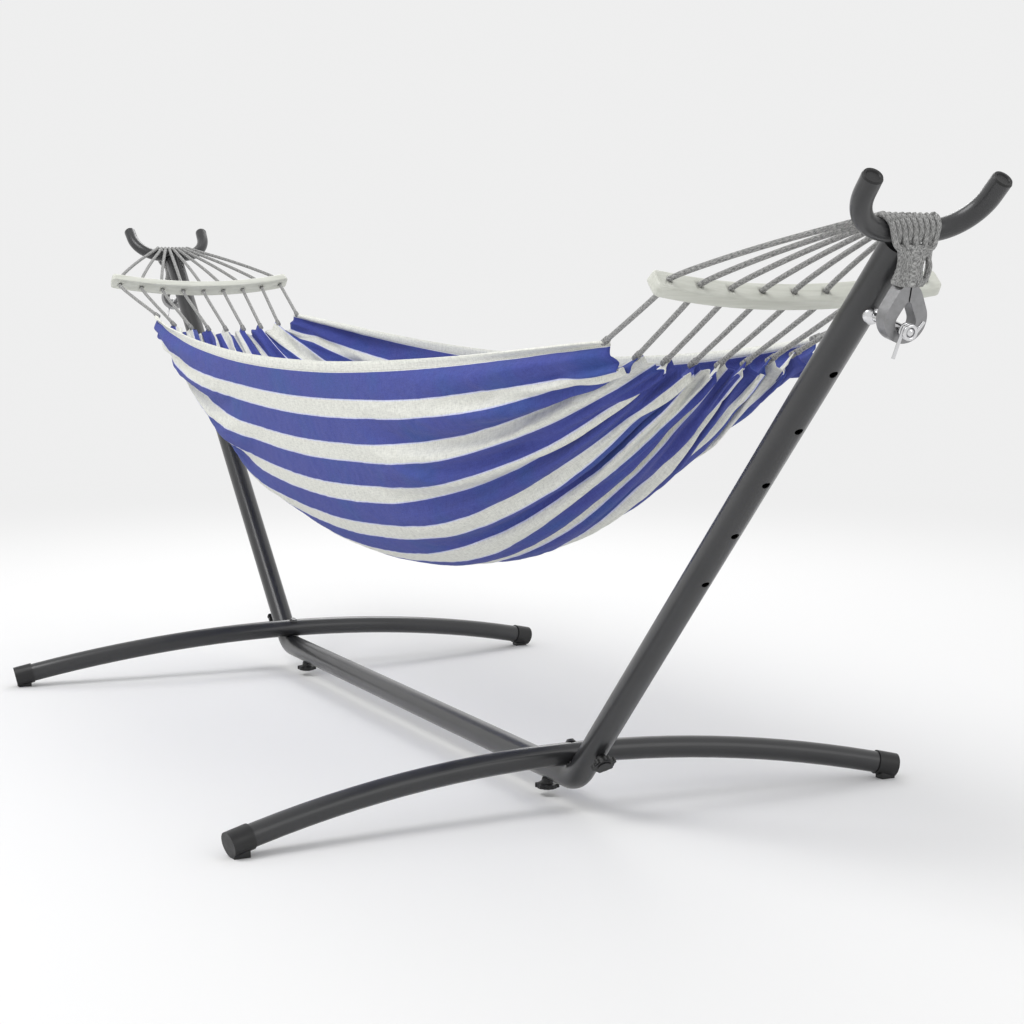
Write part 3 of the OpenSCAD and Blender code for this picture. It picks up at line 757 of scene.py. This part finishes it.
def simulate(cloth, u_row, share):
    """Hangs the cloth by its ties and lets it settle; the long hems keep close to their line."""
    frames = 30
    hem_hold, hem_reach, slight_hold = 0.5, 0.05, 0.02
    n_cols = len(share)
    group = cloth.vertex_groups.new(name="held")
    for i, u in enumerate(u_row):
        for j, s in enumerate(share):
            from_edge = min(s, 1 - s) * CLOTH_W
            hold = hem_hold * max(0.0, 1 - from_edge / hem_reach) + slight_hold
            group.add([i * n_cols + j], hold, "REPLACE")
    for end in (-1, 1):
        i = int(np.abs(u_row - end).argmin())
        for s in TIES:
            group.add([i * n_cols + int(np.abs(share - s).argmin())], 1.0, "REPLACE")
    modifier = cloth.modifiers.new("settle", "CLOTH")
    c = modifier.settings
    c.quality, c.mass = 8, 0.02
    c.tension_stiffness, c.compression_stiffness, c.shear_stiffness, c.bending_stiffness = 40, 20, 10, 1.0
    c.tension_damping, c.compression_damping, c.shear_damping, c.bending_damping = 25, 25, 15, 2
    c.air_damping = 5
    c.vertex_group_mass, c.pin_stiffness = "held", 1.0
    modifier.collision_settings.use_self_collision = False
    scene = bpy.context.scene
    scene.frame_start, scene.frame_end = 1, frames
    modifier.point_cache.frame_end = frames
    for f in range(1, frames + 1):
        scene.frame_set(f)
    apply_modifiers(cloth)
    cloth.vertex_groups.clear()
    scene.frame_set(1)


cloth, cloth_length, cloth_shares = hang_cloth()
subdivide = cloth.modifiers.new("smooth", "SUBSURF")
subdivide.levels = subdivide.render_levels = 1
# The row of vertices at the hem's inner edge stays as thin as the cloth
in_hem = [i for i, s in enumerate(cloth_shares) if min(s, 1 - s) * CLOTH_W < HEM - 0.001]
cloth.vertex_groups.new(name="hem").add(in_hem, 1.0, "REPLACE")
thick = cloth.modifiers.new("cloth thickness", "SOLIDIFY")
thick.thickness, thick.offset = HEM_T, 0
thick.vertex_group, thick.thickness_vertex_group = "hem", CLOTH_T / HEM_T
apply_modifiers(cloth)
dress(cloth, CLOTH, "striped_cloth", "hammock", "bed")

# ---- Spreader bars ----


def rounding(inset, radius):
    """How far a corner of this radius draws the side in, at inset from the end."""
    return 0 if inset >= radius else radius - math.sqrt(max(0, radius**2 - (radius - inset) ** 2))


def spreader_bar(name):
    """A bowed wooden lath with rounded edges and ends, drilled for the cords."""
    edge, squareness, sides = 0.0028, 0.22, 28
    stations = np.r_[
        np.linspace(0, BAR_CORNER, 9),
        np.linspace(0.02, BAR_L - 0.02, 40),
        BAR_L - np.linspace(BAR_CORNER, 0, 9),
    ]
    wide = np.cross(Y, U_BAR)
    verts = []
    for s in stations:
        inset = min(s, BAR_L - s)
        half_b, half_t = BAR_B / 2 - rounding(inset, BAR_CORNER), BAR_T / 2 - rounding(inset, edge)
        middle, up = bar_at((s - BAR_L / 2) / BAR_R)
        for j in range(sides):
            angle = 2 * math.pi * (j + 0.5) / sides
            c, d = math.cos(angle), math.sin(angle)
            x = math.copysign(min(1, abs(c) ** squareness), c) * half_b
            z = math.copysign(min(1, abs(d) ** squareness), d) * half_t
            verts.append(middle + x * wide + z * up)
    rows = len(stations)
    faces = []
    for i in range(rows - 1):
        a, b = i * sides, (i + 1) * sides
        faces += [(a + j, b + j, b + (j + 1) % sides, a + (j + 1) % sides) for j in range(sides)]
    faces += [tuple(range(sides)), tuple(reversed(range((rows - 1) * sides, rows * sides)))]
    bar = new_object(name, verts, faces)
    drills = [drill_bit(*cord_hole(k)) for k in range(-K_MAX, K_MAX + 1)]
    for drill in drills:
        hole = bar.modifiers.new("hole", "BOOLEAN")
        hole.object, hole.operation, hole.solver = drill, "DIFFERENCE", "EXACT"
    apply_modifiers(bar)
    for drill in drills:
        bpy.data.objects.remove(drill)
    return bar


for end_name, sign in ENDS:
    bar = flip_to(spreader_bar(f"bar_{end_name}"), sign)
    dress(bar, WOOD, "painted_wood", "hammock", f"spreader_bar_{end_name}")

# ---- Carried-over CAD nodes ----

KEPT = {
    POWDER: ("base_beam", "elbow", "post", "foot_tube", "foot_screw", "horn"),
    MOULDING: ("foot_caps", "horn_plugs", "beam_knob", "post_knob"),
    STEEL: ("weld_nuts", "beam_stud", "post_stud"),
    CHROME: ("hook_pin", "keeper_clip"),
    ZINC: ("thimble",),
}
for material, kinds in KEPT.items():
    for node_name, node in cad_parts.items():
        if node_name.removesuffix("_near").removesuffix("_far") in kinds:
            node.data.materials.clear()
            node.data.materials.append(material)

# ---- Floor ----

FLOOR_HALF, FLOOR_FADE = 60, 6.0


def pale_floor():
    """Away from the object the floor turns into the same even tone as the backdrop."""
    p = Paint("pale_floor")
    x, y, _ = p.split(p.coords())
    radius = p.math("SQRT", p.math("ADD", p.math("MULTIPLY", x, x), p.math("MULTIPLY", y, y)))
    lit = p.ramp(p.math("DIVIDE", radius, FLOOR_FADE), [(0.28, 1.0), (0.75, 0.0)], "EASE")
    return p.set(
        Base_Color=p.blend(lit, (0, 0, 0), (0.80, 0.80, 0.80)),
        Roughness=0.95,
        Specular_IOR_Level=0.0,
        Emission_Color=(1, 1, 1),
        Emission_Strength=p.math("MULTIPLY", p.math("SUBTRACT", 1.0, lit), BACKDROP),
    )


corners = [(x * FLOOR_HALF, y * FLOOR_HALF, 0) for x, y in ((-1, -1), (1, -1), (1, 1), (-1, 1))]
floor = new_object("floor", corners, [(0, 1, 2, 3)], smooth=False)
floor.data.materials.append(pale_floor())
